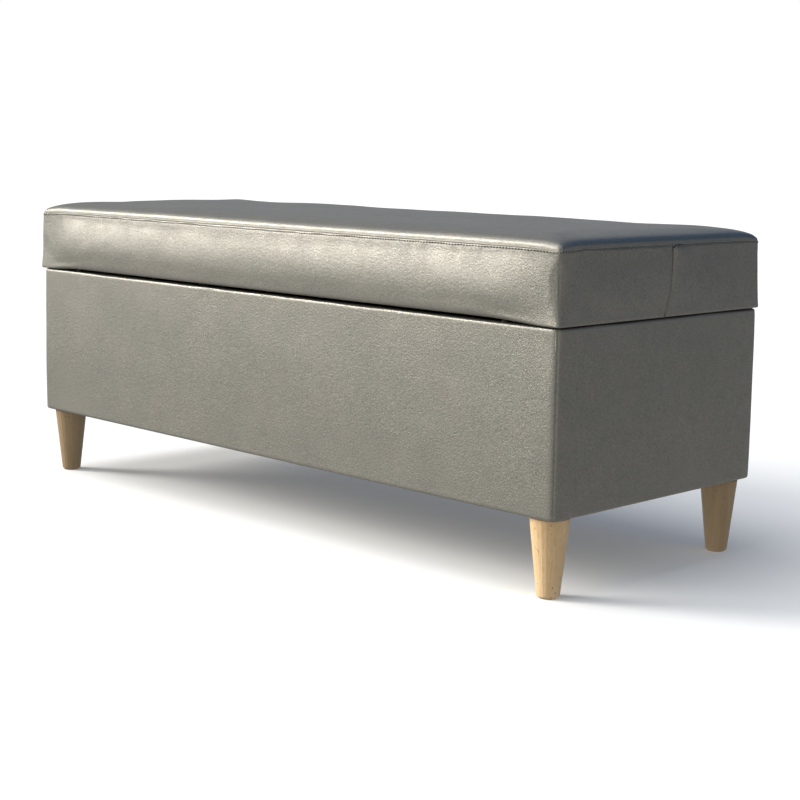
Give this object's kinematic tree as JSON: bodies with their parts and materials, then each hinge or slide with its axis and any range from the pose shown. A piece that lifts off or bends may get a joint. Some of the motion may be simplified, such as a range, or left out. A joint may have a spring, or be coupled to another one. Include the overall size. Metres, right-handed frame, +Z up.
{
  "type": "storage bench",
  "caption": "Long box bench in pearl grey-brown faux leather with a padded lid hinged at the back over a lined storage space, on turned beech legs.",
  "frame": {"origin": "on the floor, under the middle of the bench's overall box", "axes": "+X along the bench's length, towards the right as its front is seen; -Y is the front and +Y the hinge side; +Z up"},
  "size_m": [1.208, 0.463, 0.486],
  "materials": {
    "faux_leather": "satin",
    "plywood": "matte",
    "softwood": "matte",
    "beech": "satin",
    "foam": "matte",
    "wadding": "matte",
    "black_cloth": "matte",
    "zinc_steel": "satin",
    "rubber": "matte",
    "nylon": "matte"
  },
  "bodies": {
    "base": {"front_panel": "plywood", "back_panel": "plywood", "left_end_panel": "plywood", "right_end_panel": "plywood", "floor_panel": "plywood", "corner_post_front_left": "softwood", "corner_post_front_right": "softwood", "corner_post_rear_left": "softwood", "corner_post_rear_right": "softwood", "front_padding": "foam", "back_padding": "foam", "left_end_padding": "foam", "right_end_padding": "foam", "base_cover": "faux_leather", "storage_lining": "black_cloth", "dust_cover": "black_cloth", "leg_front_left": "beech", "leg_front_right": "beech", "leg_rear_left": "beech", "leg_rear_right": "beech", "leg_bolt_front_left": "zinc_steel", "leg_bolt_front_right": "zinc_steel", "leg_bolt_rear_left": "zinc_steel", "leg_bolt_rear_right": "zinc_steel", "tee_nut_front_left": "zinc_steel", "tee_nut_front_right": "zinc_steel", "tee_nut_rear_left": "zinc_steel", "tee_nut_rear_right": "zinc_steel", "glide_front_left": "nylon", "glide_front_right": "nylon", "glide_rear_left": "nylon", "glide_rear_right": "nylon", "lid_bumper_left": "rubber", "lid_bumper_right": "rubber", "hinge_base_leaf": "zinc_steel", "hinge_pin": "zinc_steel", "hinge_base_screw_1": "zinc_steel", "hinge_base_screw_2": "zinc_steel", "hinge_base_screw_3": "zinc_steel", "hinge_base_screw_4": "zinc_steel", "stay_stud_plate_left": "zinc_steel", "stay_stud_plate_right": "zinc_steel"},
    "lid": {"lid_board": "plywood", "lid_foam": "foam", "lid_wadding": "wadding", "lid_top_cover": "faux_leather", "lid_band_front": "faux_leather", "lid_band_rear": "faux_leather", "lid_lining": "black_cloth", "hinge_lid_leaf": "zinc_steel", "hinge_lid_screw_1": "zinc_steel", "hinge_lid_screw_2": "zinc_steel", "hinge_lid_screw_3": "zinc_steel", "hinge_lid_screw_4": "zinc_steel", "stay_bracket_left": "zinc_steel", "stay_rivet_left": "zinc_steel", "stay_bracket_right": "zinc_steel", "stay_rivet_right": "zinc_steel"},
    "left_stay": {"stay_arm_left": "zinc_steel"},
    "right_stay": {"stay_arm_right": "zinc_steel"}
  },
  "joints": [
    {"name": "lid_hinge", "type": "hinge", "parent": "base", "child": "lid", "pos_m": [0, 0.2291, 0.367], "axis": [-1, 0, 0], "range_deg": [0, 95]},
    {"name": "left_stay_pivot", "type": "hinge", "parent": "lid", "child": "left_stay", "pos_m": [-0.5713, 0.10478, 0.354], "axis": [-1, 0, 0], "range_deg": [-47.5, 0]},
    {"name": "right_stay_pivot", "type": "hinge", "parent": "lid", "child": "right_stay", "pos_m": [0.5713, 0.10478, 0.354], "axis": [-1, 0, 0], "range_deg": [-47.5, 0]}
  ],
  "couplings": [
    {"joint": "left_stay_pivot", "follows": "lid_hinge", "ratio": -0.5},
    {"joint": "right_stay_pivot", "follows": "lid_hinge", "ratio": -0.5}
  ]
}
